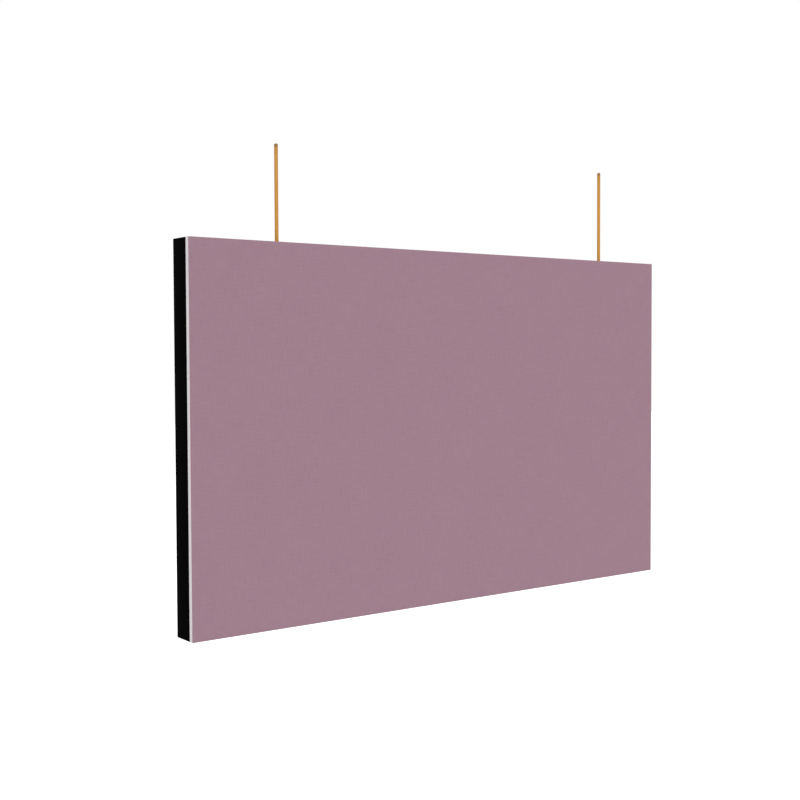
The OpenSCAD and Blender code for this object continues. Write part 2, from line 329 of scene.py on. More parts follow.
@dataclass(frozen=True)
class WorkedMetal(Finish):
    """Metal drawn, turned or extruded to shape: fine lines along the work and a slight uneven tarnish."""

    # the tarnish's colour, which at a rod's tip is also painted shade
    tarnish_and_shade: str = "#8d7440"
    tarnish_share: float = 0.25
    tarnish_mm: Point = (11.0, 11.0, 16.0)
    line_mm: Point = (0.05, 0.05, 9.0)
    line_gloss: float = 0.07

    def pattern(self, tree: bpy.types.NodeTree, place: Link) -> Pattern:
        """Draws the lines, the tarnish in clouds, and a darker colour where the mesh marks a point, which
        at a rod's tip is tarnish with painted shade.

        Args:
            tree: the material's node tree.
            place: the point on the surface, in metres.

        Returns:
            Colour, roughness and height.
        """
        drawn = []
        for size, layers in ((self.line_mm, FINE), (self.tarnish_mm, CLOUDY)):
            run = add(tree, "VectorMath", (place, per_metre(size)), operation="MULTIPLY")
            drawn.append(add(tree, "TexNoise", (run, 1.0, layers)))
        lines, clouds = drawn
        dull = add(tree, "MapRange", (clouds, *NOISE_SPAN, 0.0, self.tarnish_share))
        # The mesh's marks darken a rod's tip: tarnish with painted shade.
        wear_and_shade = add(tree, "Attribute", attribute_name=WEAR_AND_SHADE).outputs["Fac"]
        share = add(tree, "Math", (dull, wear_and_shade), operation="MAXIMUM")
        colour = add(tree, "Mix", (share, linear(self.colour), linear(self.tarnish_and_shade)), data_type="RGBA")
        gloss = add(tree, "MapRange", (lines, *NOISE_SPAN, *self.gloss_range(self.line_gloss)))
        return Pattern(colour, gloss, lines)


@dataclass(frozen=True)
class ZincPlate(Finish):
    """Steel with an electroplated coat of zinc, whose crystals differ in tone and gloss."""

    dark: str = "#8e9297"
    crystal_mm: float = 1.2  # coarser than real crystals, which melt into an even grey
    crystal_gloss: float = 0.14
    grit_mm: float = 0.2

    def pattern(self, tree: bpy.types.NodeTree, place: Link) -> Pattern:
        """Draws the crystals over a fine grit.

        Args:
            tree: the material's node tree.
            place: the point on the surface, in metres.

        Returns:
            Colour, roughness and height.
        """
        crystals = add(tree, "TexVoronoi", (place, 1 / (self.crystal_mm * MM))).outputs["Color"]
        tone = add(tree, "SeparateColor", (crystals,))
        colour = add(tree, "Mix", (tone, linear(self.colour), linear(self.dark)), data_type="RGBA")
        glossiest = self.roughness - self.crystal_gloss / 2
        gloss = add(tree, "Math", (tone, self.crystal_gloss, glossiest), operation="MULTIPLY_ADD")
        grit = add(tree, "TexNoise", (place, 1 / (self.grit_mm * MM), FINE))
        return Pattern(colour, gloss, grit)


@dataclass(frozen=True)
class FibreMat(Finish):
    """Mineral or glass fibres laid flat and bonded: single fibres that catch the light on a dull ground."""

    fibre: str = "#d8c48c"
    fibre_mm: float = 0.3  # coarser than a real fibre, which is too fine to show
    length_mm: float = 9.0
    lean: float = 0.9  # how far the third direction is turned, in radians
    cloud_mm: float = 14.0
    cloud_light: tuple[float, float] = (0.5, 1.0)
    strands: tuple[float, float] = (0.56, 0.74)  # the noise's values from bare ground to full fibre

    def pattern(self, tree: bpy.types.NodeTree, place: Link) -> Pattern:
        """Draws fibres that run in three directions.

        Args:
            tree: the material's node tree.
            place: the point on the surface, in metres.

        Returns:
            Colour and height.
        """
        upright = (self.fibre_mm, self.fibre_mm, self.length_mm)
        turned = add(tree, "VectorRotate", {"Vector": place, "Axis": tuple(TO_REAR), "Angle": self.lean})
        drawn = []
        for start, size in ((place, upright), (place, upright[::-1]), (turned, upright)):
            run = add(tree, "VectorMath", (start, per_metre(size)), operation="MULTIPLY")
            drawn.append(add(tree, "TexNoise", (run, 1.0, FINE)))
        *square, leaning = drawn
        crossed = add(tree, "Math", square, operation="MAXIMUM")
        top = add(tree, "Math", (crossed, leaning), operation="MAXIMUM")
        single = add(tree, "MapRange", (top, *self.strands, 0.0, 1.0))
        clouds = add(tree, "TexNoise", (place, 1 / (self.cloud_mm * MM), CLOUDY))
        lit = add(tree, "MapRange", (clouds, *NOISE_SPAN, *self.cloud_light))
        share = add(tree, "Math", (single, lit), operation="MULTIPLY")
        colour = add(tree, "Mix", (share, linear(self.colour), linear(self.fibre)), data_type="RGBA")
        return Pattern(colour, height=top)


@dataclass(frozen=True)
class MouldedPlastic(Finish):
    """Plastic from a spark-eroded mould: an even colour under a fine matt grain."""

    grain_mm: float = 0.25
    flow_mm: float = 6.0
    flow_gloss: float = 0.07

    def pattern(self, tree: bpy.types.NodeTree, place: Link) -> Pattern:
        """Draws the mould's grain, and a gloss that varies with the flow of the plastic.

        Args:
            tree: the material's node tree.
            place: the point on the surface, in metres.

        Returns:
            Roughness and height.
        """
        flow = add(tree, "TexNoise", (place, 1 / (self.flow_mm * MM), FINE))
        gloss = add(tree, "MapRange", (flow, *NOISE_SPAN, *self.gloss_range(self.flow_gloss)))
        sparks = add(tree, "TexNoise", (place, 1 / (self.grain_mm * MM), FINE))
        return Pattern(roughness=gloss, height=sparks)


# Polyester cloth, woven and laminated flat: even and matt from afar, with uneven yarns close to.
CLOTH = WovenCloth("woven_mauve_polyester", "#a0808c", 0.95, specular=0.12, relief_mm=0.12)

# Undyed polyester felt, needled, hot-pressed and cut with a knife: pale and matt, with a fibrous edge.
FELT = NeedledFelt("needled_pale_felt", "#e2dcdf", 0.95, specular=0.15, relief_mm=0.15)

# Aluminium under a deep matt black powder coat: so little gloss that the frame reads as a black band.
COAT = PowderCoat("deep_matt_black_powder_coat", "#050405", 0.78, specular=0.0045, relief_mm=0.02)

# Drawn brass under a satin lacquer, whose haze scatters half of the light: an even gold without glints. Its
# tip is darker, partly tarnish and partly painted shade.
ROD_BRASS = WorkedMetal(
    "satin_lacquered_brass", "#be8a44", 0.45, metallic=0.45, relief_mm=0.004,
    gloss_tint="#e8b868", tarnish_and_shade="#916c3e", tarnish_share=0.12,
)

# Brass turned on a lathe and left bare: bright, with rings that follow the turning.
NUT_BRASS = WorkedMetal(
    "turned_brass", "#c89a55", 0.3, metallic=1.0, relief_mm=0.006, line_mm=(2.0, 2.0, 0.06),
)

# Aluminium as it comes from the extruder: grey and soft, with lines along the extrusion.
KEY_ALUMINIUM = WorkedMetal(
    "extruded_aluminium", "#c2c3c6", 0.38, metallic=1.0, relief_mm=0.01,
    line_mm=(0.12, 14.0, 0.12), tarnish_and_shade="#a3a4a8",
)

# Steel plated with zinc: a cool grey that breaks up into small crystals.
ZINC = ZincPlate("zinc_plated_steel", "#a4a8ac", 0.42, metallic=1.0, relief_mm=0.01)

# Mineral wool bonded with resin and sawn to size: a dull ochre with loose fibres.
WOOL = FibreMat("bonded_mineral_wool", "#a08a52", 0.98, specular=0.1, relief_mm=0.6)

# Black glass fleece, laid wet and bonded: charcoal, with fine grey fibres.
FLEECE = FibreMat(
    "bonded_black_glass_fleece", "#161518", 0.9, specular=0.2, relief_mm=0.08,
    fibre="#39383d", fibre_mm=0.16, length_mm=6.0,
)

# Dark grey polyamide, injection-moulded: half matt.
SOCKET_PLASTIC = MouldedPlastic("moulded_grey_polyamide", "#4b4c50", 0.5, specular=0.4, relief_mm=0.02)

# Natural white acetal, injection-moulded: slightly waxy.
STUD_PLASTIC = MouldedPlastic("moulded_white_acetal", "#e7e4dd", 0.38, relief_mm=0.015)


# Shapes


@dataclass
class Shape:
    """Points and faces of a piece in the making."""

    points: list[Vector] = field(default_factory=list)
    faces: list[tuple[int, ...]] = field(default_factory=list)

    def join(self, points: Iterable[Sequence[float]], faces: Iterable[Sequence[int]]) -> None:
        """Joins points and faces to the shape.

        Args:
            points: the new points.
            faces: the new faces, numbered from the first new point.
        """
        first = len(self.points)
        self.points.extend(Vector(point) for point in points)
        self.faces.extend(tuple(first + i for i in face) for face in faces)

    def tube(self, rings: Sequence[Sequence[Sequence[float]]], closed: bool = False) -> None:
        """Joins a tube through rings of equally many points.

        Args:
            rings: the rings, in order.
            closed: whether the last ring meets the first; otherwise either end has a cap.
        """
        count, sides = len(rings), len(rings[0])
        faces = []
        for k in range(count if closed else count - 1):
            here, there = k * sides, (k + 1) % count * sides
            for i in range(sides):
                j = (i + 1) % sides
                faces.append((here + i, here + j, there + j, there + i))
        if not closed:
            faces += [tuple(reversed(range(sides))), tuple(range((count - 1) * sides, count * sides))]
        self.join([point for ring in rings for point in ring], faces)

    def turn(
        self,
        profile: Outline,
        axis: Matrix,
        sides: int = TURNED_SIDES,
        closed: bool = True,
        radius: Callable[[float, float, float], float] | None = None,
    ) -> None:
        """Joins a turned form.

        Args:
            profile: radius and height of each point of its outline.
            axis: takes the form's own Z axis to its place.
            sides: how many sides it has.
            closed: whether the outline is a closed loop; otherwise either end has a cap.
            radius: gives the radius at a radius, an angle and a height, for a thread or a knurl.
        """
        rings = []
        for r, z in profile:
            ring = []
            for angle in (math.tau * i / sides for i in range(sides)):
                out = radius(r, angle, z) if radius else r
                ring.append(axis @ Vector((out * math.cos(angle), out * math.sin(angle), z)))
            rings.append(ring)
        self.tube(rings, closed)

    def bore(self, axis: Matrix, radius: float, start: float, stop: float) -> None:
        """Joins the round bar that bores a hole, from one height to another along its axis."""
        self.turn([(radius, start), (radius, stop)], axis, closed=False)

    def piece(
        self, name: str, sharp_deg: float = HARD_EDGE_DEG, wear_and_shade: Sequence[float] = ()
    ) -> bpy.types.Object:
        """Makes an object of the shape.

        Args:
            name: the object's name.
            sharp_deg: the angle past which an edge is sharp.
            wear_and_shade: each point's share of wear and of painted shade, in order.

        Returns:
            The object, in the scene.
        """
        mesh = bpy.data.meshes.new(name)
        mesh.from_pydata([tuple(point) for point in self.points], [], self.faces)
        if wear_and_shade:
            mesh.attributes.new(WEAR_AND_SHADE, "FLOAT", "POINT").data.foreach_set("value", wear_and_shade)
        tidy(mesh, sharp_deg)
        return put(name, mesh)


def put(name: str, data: bpy.types.ID) -> bpy.types.Object:
    """Makes an object of a mesh, a camera or a lamp and puts it into the scene.

    Args:
        name: the object's name.
        data: what it is made of.

    Returns:
        The object.
    """
    made = bpy.data.objects.new(name, data)
    bpy.context.scene.collection.objects.link(made)
    return made


def tidy(mesh: bpy.types.Mesh, sharp_deg: float) -> None:
    """Welds doubled points, turns the faces outwards and shades them smooth between sharp edges.

    Args:
        mesh: the mesh.
        sharp_deg: the angle past which an edge is sharp.
    """
    bm = bmesh.new()
    bm.from_mesh(mesh)
    bmesh.ops.remove_doubles(bm, verts=bm.verts, dist=WELD)
    bmesh.ops.dissolve_degenerate(bm, edges=bm.edges, dist=WELD)
    bmesh.ops.recalc_face_normals(bm, faces=bm.faces)
    bm.to_mesh(mesh)
    bm.free()
    mesh.shade_smooth()
    mesh.set_sharp_from_angle(angle=math.radians(sharp_deg))


def carve(piece: bpy.types.Object, cutter: Shape, sharp_deg: float = HARD_EDGE_DEG) -> None:
    """Cuts solids out of a piece.

    Args:
        piece: the piece.
        cutter: the solids, which may overlap.
        sharp_deg: the angle past which an edge is sharp.
    """
    tool = cutter.piece(f"{piece.name}_cutter")
    change = piece.modifiers.new("cut", "BOOLEAN")
    change.operation = "DIFFERENCE"
    change.solver = "EXACT"
    change.use_self = True
    change.object = tool
    graph = bpy.context.evaluated_depsgraph_get()
    ready = piece.evaluated_get(graph)
    mesh = bpy.data.meshes.new_from_object(ready, preserve_all_data_layers=True, depsgraph=graph)
    piece.modifiers.clear()
    uncut, piece.data = piece.data, mesh
    bpy.data.objects.remove(tool)
    bpy.data.meshes.remove(uncut)
    tidy(mesh, sharp_deg)


def rounded(corners: Outline, radius: float, steps: int) -> list[Vector]:
    """Rounds every corner of a closed outline.

    Args:
        corners: the outline's corners, in order.
        radius: the radius of each corner.
        steps: how many straight steps a corner has.

    Returns:
        The points of the rounded outline.
    """
    made = []
    for before, corner, after in zip([corners[-1], *corners[:-1]], corners, [*corners[1:], corners[0]]):
        here = Vector(corner)
        back, on = (Vector(before) - here).normalized(), (Vector(after) - here).normalized()
        half = back.angle(on) / 2
        centre = here + (back + on).normalized() * (radius / math.sin(half))
        reach = radius / math.tan(half)
        start, end = ((here + way * reach - centre).normalized() for way in (back, on))
        made += [centre + start.slerp(end, i / steps) * radius for i in range(steps + 1)]
    return made


def ripple(point: Vector, grain_mm: float, depth_mm: float) -> float:
    """Gives a smooth random height in metres, the same at a point on every run."""
    return noise.noise(point / (grain_mm * MM)) * depth_mm * MM


def axis_at(place: Vector, direction: Vector) -> Matrix:
    """Gives what takes a turned form's own Z axis to a direction at a place."""
    return Matrix.Translation(place) @ direction.to_track_quat("Z", "Y").to_matrix().to_4x4()


def middle_of(solid: Solid) -> Vector:
    """Gives the middle of a solid."""
    return (solid[0] + solid[1]) / 2


def clip_axis(solid: Solid, y: float) -> Matrix:
    """Gives the axis to the rear through the middle of a solid, from a depth."""
    middle = middle_of(solid)
    return axis_at(Vector((middle.x, y, middle.z)), TO_REAR)


def solids_of(node: str) -> list[Solid]:
    """Finds the separate solids of a CAD node.

    Args:
        node: the node's name.

    Returns:
        The lowest and the highest corner of each solid.
    """
    bm = bmesh.new()
    bm.from_mesh(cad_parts[node].data)
    bmesh.ops.remove_doubles(bm, verts=bm.verts, dist=WELD)
    left, found = set(bm.verts), []
    while left:
        reached, open_ends = [], [left.pop()]
        while open_ends:
            vert = open_ends.pop()
            reached.append(vert.co.copy())
            near = {edge.other_vert(vert) for edge in vert.link_edges} & left
            left -= near
            open_ends.extend(near)
        found.append((Vector(map(min, zip(*reached))), Vector(map(max, zip(*reached)))))
    bm.free()
    return sorted(found, key=lambda solid: tuple(solid[0]))


# The baffle


class Side(Enum):
    """A side of the baffle: the way along its rail and the way in."""

    TOP = (Vector((1, 0, 0)), Vector((0, 0, -1)))
    BOTTOM = (Vector((-1, 0, 0)), Vector((0, 0, 1)))
    LEFT = (Vector((0, 0, 1)), Vector((1, 0, 0)))
    RIGHT = (Vector((0, 0, -1)), Vector((-1, 0, 0)))


class Face(Enum):
    """The way that a face looks along Y."""

    FRONT = -1
    REAR = 1


class End(Enum):
    """An end of the baffle."""

    LEFT = "left"
    RIGHT = "right"


class Assembly(ABC):
    """Pieces that are built as one."""

    @abstractmethod
    def build(self) -> list[bpy.types.Object]:
        """Builds the pieces."""

    def dress(
        self, piece: bpy.types.Object, finish: Finish, body: str, slot: str, *nodes: str
    ) -> bpy.types.Object:
        """Finishes a new piece.

        Args:
            piece: the piece.
            finish: its finish.
            body: the CAD body that it moves with.
            slot: the name of a material slot; not used.
            nodes: the CAD nodes that it stands for.

        Returns:
            The piece.
        """
        piece.data.materials.clear()
        piece.data.materials.append(finish.make())
        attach(piece, body)
        if nodes:
            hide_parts(*nodes)
        return piece

    def paint(self, node: str, finish: Finish) -> bpy.types.Object:
        """Finishes a CAD node that keeps its shape.

        Args:
            node: the node's name.
            finish: its finish.

        Returns:
            The node's object.
        """
        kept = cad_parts[node]
        kept.data.materials.clear()
        kept.data.materials.append(finish.make())
        return kept


@dataclass(frozen=True)
class RailPlace:
    """Where a rail lies: its side of the baffle, and its lowest and its highest corner."""

    side: Side
    low: Vector
    high: Vector

    @property
    def reach(self) -> float:
        """Gives half of the rail's length."""
        return abs((self.high - self.low).dot(self.side.value[0])) / 2

    @property
    def outer(self) -> Vector:
        """Gives the middle of the rail's outer face."""
        inward = self.side.value[1]
        return (self.low + self.high) / 2 - inward * abs((self.high - self.low).dot(inward)) / 2

    def at(self, run: float, y: float, depth: float) -> Vector:
        """Places a point in the rail.

        Args:
            run: its distance along the rail from the middle.
            y: its Y.
            depth: its depth from the outer face.

        Returns:
            The point.
        """
        along, inward = self.side.value
        point = self.outer + along * run + inward * depth
        return Vector((point.x, y, point.z))


@dataclass
class BlackFrame(Assembly):
    """Four extruded rails, mitred and coated, with the hangers' slot in the top one."""

    wall: float = 2 * MM
    chamber_w: float = 28 * MM
    chamber_h: float = 11 * MM
    lip: float = 12 * MM
    slot_w: float = 10 * MM
    slot_end: float = 60 * MM
    slot_steps: int = 24
    socket_hole_r: float = 4.0 * MM
    collar_hole_r: float = 5.6 * MM
    collar_depth: float = 0.8 * MM
    key_hole_r: float = 3.25 * MM
    arris: float = 0.4 * MM
    arris_steps: int = 4
    mitre_gap: float = 0.05 * MM
    sawn_edge: float = 0.5 * MM

    def section(self, low: Vector, high: Vector) -> list[Vector]:
        """Draws a rail's section without its chamber.

        Args:
            low: the rail's lowest corner.
            high: its highest corner.

        Returns:
            Points of Y and of the depth from the outer face.
        """
        flange = min(high.x - low.x, high.z - low.z)
        web, foot = self.chamber_w / 2 + self.wall, 2 * self.wall + self.chamber_h
        front, rear = low.y + self.wall, high.y - self.wall
        corners = [
            (low.y, 0), (high.y, 0), (high.y, self.lip), (rear, self.lip), (rear, self.wall),
            (web, self.wall), (web, foot), (front, foot), (front, flange), (low.y, flange),
        ]
        return rounded(corners, self.arris, self.arris_steps)

    def slot(self, reach: float) -> list[tuple[float, float]]:
        """Draws the slot with the round ends that a milling cutter leaves.

        Args:
            reach: half of the rail's length.

        Returns:
            Points of the distance along the rail and of Y.
        """
        radius = self.slot_w / 2
        centre = reach - self.slot_end - radius
        angles = [math.pi * (i / self.slot_steps - 0.5) for i in range(self.slot_steps + 1)]
        half = [(centre + radius * math.cos(a), radius * math.sin(a)) for a in angles]
        return half + [(-run, -y) for run, y in half]

    def blank(self, place: RailPlace) -> bpy.types.Object:
        """Makes a mitred rail before its chamber and its holes, with its edges marked as worn.

        Args:
            place: where the rail lies.

        Returns:
            The rail.
        """
        outline, body, end = self.section(place.low, place.high), Shape(), place.reach - self.mitre_gap
        runs = [(-1, end), (-1, end - self.sawn_edge), (1, end - self.sawn_edge), (1, end)]
        body.tube([[place.at(way * (run - depth), y, depth) for y, depth in outline] for way, run in runs])
        flats, sawn = (0, self.arris_steps), [1.0] * len(outline)
        wear_and_shade = [float(i % (self.arris_steps + 1) not in flats) for i in range(len(outline))]
        return body.piece(f"rail_{place.side.name.lower()}", wear_and_shade=[*sawn, *wear_and_shade, *wear_and_shade, *sawn])

    def hollows(self, place: RailPlace) -> Shape:
        """Makes the cutter for the chamber and for the holes round the sockets and the grub screws.

        Args:
            place: where the rail lies.

        Returns:
            The cutter.
        """
        cutter, low, high, inward = Shape(), place.low, place.high, place.side.value[1]
        half, far, through = self.chamber_w / 2, self.wall + self.chamber_h, self.wall + OVERCUT
        corners = [(-half, self.wall), (half, self.wall), (half, far), (-half, far)]
        chamber = rounded(corners, self.arris, self.arris_steps)
        stops = (-place.reach - OVERCUT, place.reach + OVERCUT)
        cutter.tube([[place.at(run, y, depth) for y, depth in chamber] for run in stops])
        for solid in solids_of("clip_sockets"):
            middle = middle_of(solid)
            if low.x <= middle.x <= high.x and low.z <= middle.z <= high.z:
                cutter.bore(clip_axis(solid, low.y), self.socket_hole_r, -OVERCUT, through)
                cutter.bore(clip_axis(solid, low.y), self.collar_hole_r, -OVERCUT, self.collar_depth)
        for solid in solids_of("key_screws"):
            middle = middle_of(solid)
            run, depth = ((middle - place.outer).dot(way) for way in place.side.value)
            if abs(run) < place.reach and 0 < depth < far + self.wall:
                axis = axis_at(place.at(run, middle.y, far), inward)
                cutter.bore(axis, self.key_hole_r, -OVERCUT, through)
        return cutter

    def rail(self, side: Side) -> bpy.types.Object:
        """Makes one rail with its mitres, its chamber and its holes.

        Args:
            side: the side that it is on.

        Returns:
            The rail.
        """
        node = f"frame_{side.name.lower()}"
        place = RailPlace(side, *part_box(node))
        rail = self.blank(place)
        carve(rail, self.hollows(place))
        if side is Side.TOP:
            mill, outline, depths = Shape(), self.slot(place.reach), (-OVERCUT, self.wall + OVERCUT)
            mill.tube([[place.at(run, y, depth) for run, y in outline] for depth in depths])
            carve(rail, mill)
        return self.dress(rail, COAT, "baffle", "frame_coat", node)

    def build(self) -> list[bpy.types.Object]:
        """Makes the four rails."""
        return [self.rail(side) for side in Side]


@dataclass
class CornerJoints(Assembly):
    """The keys in the mitred corners and the grub screws that wedge them, in their CAD shapes."""

    corners: tuple[str, ...] = ("top_left", "top_right", "bottom_left", "bottom_right")

    def build(self) -> list[bpy.types.Object]:
        """Finishes the keys and the screws."""
        keys = [self.paint(f"corner_key_{corner}", KEY_ALUMINIUM) for corner in self.corners]
        return [*keys, self.paint("key_screws", ZINC)]


@dataclass
class Board(Assembly):
    """A soft board cut with a knife: its edges are slightly uneven, and fibres may stand out of them."""

    name: str
    node: str
    body: str
    slot: str
    finish: Finish
    pockets_for: str = ""
    pocket_face: Face = Face.FRONT
    pocket_r: float = 5.4 * MM
    pocket_gap: float = 0.05 * MM
    edge_step: float = 2.5 * MM
    layers: int = 6
    coarse_mm: tuple[float, float] = (3.0, 0.1)  # how long and how deep the knife's slow waves are
    fine_mm: tuple[float, float] = (1.1, 0.06)  # how long and how deep its quick waves are
    loose_fibres: int = 0
    fibre_r: tuple[float, float] = (0.02 * MM, 0.035 * MM)
    fibre_len: tuple[float, float] = (0.5 * MM, 1.4 * MM)
    fibre_taper: tuple[float, ...] = (1.0, 0.65, 0.3)  # at its root, its middle and its tip
    fibre_root: float = 0.2 * MM
    fibre_clear: tuple[float, float] = (0.4 * MM, 1.2 * MM)  # from the front and the rear face
    fibre_sway: tuple[float, float] = (-1.0, 1.0)  # along the edge, as a share of its length
    fibre_tilt: tuple[float, float] = (-0.5, 0.5)  # across the edge
    fibre_rise: tuple[float, float] = (0.3, 1.0)  # out of the edge
    fibre_curl: tuple[float, float] = (-0.4, 0.3)  # outwards at its tip
    seed: int = 1

    def edges(self) -> list[tuple[Vector, Vector, Vector, float]]:
        """Follows the board's four edges.

        Returns:
            The start, the way along, the way out and the length of each.
        """
        low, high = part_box(self.node)
        outline = ((low.x, low.z), (high.x, low.z), (high.x, high.z), (low.x, high.z))
        corners = [Vector((x, 0, z)) for x, z in outline]
        found = []
        for start, end in zip(corners, corners[1:] + corners[:1]):
            along = (end - start).normalized()
            found.append((start, along, TO_REAR.cross(along), (end - start).length))
        return found

    def layer(self, y: float) -> list[Vector]:
        """Draws the board's outline at one depth, as the knife left it.

        Args:
            y: the depth.

        Returns:
            The outline's points.
        """
        ring = []
        for start, along, outward, length in self.edges():
            count = round(length / self.edge_step)
            for i in range(count):
                point = start + along * (length * i / count) + TO_REAR * y
                depth = ripple(point, *self.coarse_mm) + ripple(point, *self.fine_mm) if i else 0.0
                ring.append(point + outward * depth)
        return ring

    def pockets(self) -> Shape:
        """Makes the cutter for the pockets round the clips.

        Returns:
            The cutter.
        """
        low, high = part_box(self.node)
        cutter = Shape()
        for solid in solids_of(self.pockets_for):
            start, stop = solid[0].y - self.pocket_gap, solid[1].y + self.pocket_gap
            if self.pocket_face is Face.FRONT:
                start = low.y - OVERCUT
            else:
                stop = high.y + OVERCUT
            cutter.bore(clip_axis(solid, start), self.pocket_r, 0.0, stop - start)
        return cutter

    def fibres(self) -> Shape:
        """Draws the loose fibres that stand out of the edges.

        Returns:
            The fibres.
        """
        low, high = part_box(self.node)
        draw, loose, edges = Random(self.seed), Shape(), self.edges()
        for _ in range(self.loose_fibres):
            start, along, outward, length = draw.choices(edges, [edge[-1] for edge in edges])[0]
            y = draw.uniform(low.y + self.fibre_clear[0], high.y - self.fibre_clear[1])
            root = start + along * draw.uniform(0, length) + TO_REAR * y - outward * self.fibre_root
            half, thick = draw.uniform(*self.fibre_len) / 2, draw.uniform(*self.fibre_r)
            lean = along * draw.uniform(*self.fibre_sway) + TO_REAR * draw.uniform(*self.fibre_tilt)
            lean += outward * draw.uniform(*self.fibre_rise)
            curl = along * draw.uniform(*self.fibre_sway) + outward * draw.uniform(*self.fibre_curl)
            line = (root, root + lean * half, root + lean * (2 * half) + curl * half)
            around = [along * math.cos(a) + TO_REAR * math.sin(a) for a in (0, math.tau / 3, -math.tau / 3)]
            taper = [thick * share for share in self.fibre_taper]
            loose.tube([[point + way * r for way in around] for point, r in zip(line, taper)])
        return loose

    def build(self) -> list[bpy.types.Object]:
        """Makes the board and its loose fibres.

        Returns:
            The pieces.
        """
        low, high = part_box(self.node)
        body, depth = Shape(), high.y - low.y
        body.tube([self.layer(low.y + depth * k / self.layers) for k in range(self.layers + 1)])
        board = body.piece(self.name, SOFT_EDGE_DEG)
        if self.pockets_for:
            carve(board, self.pockets(), SOFT_EDGE_DEG)
        made = [self.dress(board, self.finish, self.body, self.slot, self.node)]
        if self.loose_fibres:
            fibres = self.fibres().piece(f"{self.name}_fibres")
            made.append(self.dress(fibres, self.finish, self.body, self.slot))
        return made


@dataclass
class FlatSheet(Assembly):
    """A thin sheet that lies flat on a board: the knife rounds its edge, and its face hardly waves."""

    name: str
    node: str
    body: str
    slot: str
    finish: Finish
    rests_on: str
    face: Face
    cell: float = 8 * MM
    edge_r: float = 0.3 * MM
    edge_steps: tuple[float, ...] = (0.0, 0.1, 0.35, 1.0)  # where the rounded edge has points
    wave_mm: tuple[float, float] = (30.0, 0.05)  # how long and how deep its face's waves are
    holes_for: str = ""
    hole_r: float = 5.4 * MM

    def lines(self, low: float, high: float) -> list[float]:
        """Spaces lines across the sheet, closely at its rounded edges.

        Args:
            low: where the sheet starts.
            high: where it ends.

        Returns:
            The places of the lines, in order.
        """
        near = [self.edge_r * step for step in self.edge_steps]
        inside = high - low - 2 * self.edge_r
        count = round(inside / self.cell)
        middle = [low + self.edge_r + inside * i / count for i in range(1, count)]
        return [*(low + d for d in near), *middle, *(high - d for d in reversed(near))]

    def sink(self, x: float, z: float, to_edge: float) -> float:
        """Gives how far a point of the face lies below its highest level.

        Args:
            x: the point's X.
            z: the point's Z.
            to_edge: its distance from the nearest edge.

        Returns:
            The depth in metres.
        """
        if to_edge < self.edge_r:
            return self.edge_r - math.sqrt(self.edge_r**2 - (self.edge_r - to_edge) ** 2)
        return abs(ripple(Vector((x, 0, z)), *self.wave_mm))

    def blank(self) -> Shape:
        """Makes the sheet before its holes are cut.

        Returns:
            The sheet's shape.
        """
        low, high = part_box(self.node)
        top, under = (low.y, high.y) if self.face is Face.FRONT else (high.y, low.y)
        across, up = self.lines(low.x, high.x), self.lines(low.z, high.z)
        wide, tall = len(across), len(up)
        points = []
        for z in up:
            for x in across:
                to_edge = min(x - low.x, high.x - x, z - low.z, high.z - z)
                points.append((x, top - self.face.value * self.sink(x, z, to_edge), z))
        starts = [j * wide + i for j in range(tall - 1) for i in range(wide - 1)]
        faces = [(s, s + 1, s + 1 + wide, s + wide) for s in starts]
        last_row = (tall - 1) * wide
        rim = [*range(wide), *range(2 * wide - 1, last_row, wide)]
        rim += [*range(tall * wide - 1, last_row - 1, -1), *range(last_row - wide, 0, -wide)]
        first, count = len(points), len(rim)
        points += [(points[i][0], under, points[i][2]) for i in rim]
        for k, corner in enumerate(rim):
            following = (k + 1) % count
            faces.append((corner, first + k, first + following, rim[following]))
        faces.append(tuple(range(first, first + count)))
        sheet = Shape()
        sheet.join(points, faces)
        return sheet

    def build(self) -> list[bpy.types.Object]:
        """Makes the sheet, and cuts its holes if it has any.

        Returns:
            The sheet.
        """
        low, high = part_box(self.node)
        sheet = self.blank().piece(self.name, SOFT_EDGE_DEG)
        if self.holes_for:
            cutter, through = Shape(), high.y - low.y + 2 * OVERCUT
            for solid in solids_of(self.holes_for):
                cutter.bore(clip_axis(solid, low.y - OVERCUT), self.hole_r, 0.0, through)
            carve(sheet, cutter, SOFT_EDGE_DEG)
        self.dress(sheet, self.finish, self.body, self.slot, self.node)
        return [sheet]


